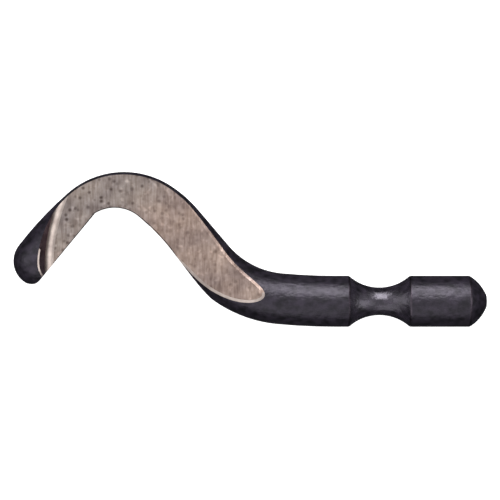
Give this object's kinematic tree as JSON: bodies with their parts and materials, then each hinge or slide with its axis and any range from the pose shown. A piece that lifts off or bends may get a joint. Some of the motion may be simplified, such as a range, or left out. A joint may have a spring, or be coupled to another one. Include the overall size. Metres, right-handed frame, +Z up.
{
  "type": "hook deburring blade",
  "caption": "Hook-shaped swivel blade bent from round steel bar, with a ground cutting face and a grooved shank that snaps into a handle.",
  "frame": {"origin": "under the middle of the blade's bounding box, on the plane that its round back rests on", "axes": "+X along the shank towards its butt end, +Y from the shank towards the crown of the hook, +Z up out of the ground cutting face"},
  "size_m": [0.0296, 0.0098, 0.0032],
  "materials": {
    "blade_steel": "black oxide over the round bar, bare surface-ground steel on the cutting face and the relief"
  },
  "bodies": {
    "root": {"hook_blade": "blade_steel"}
  },
  "joints": []
}
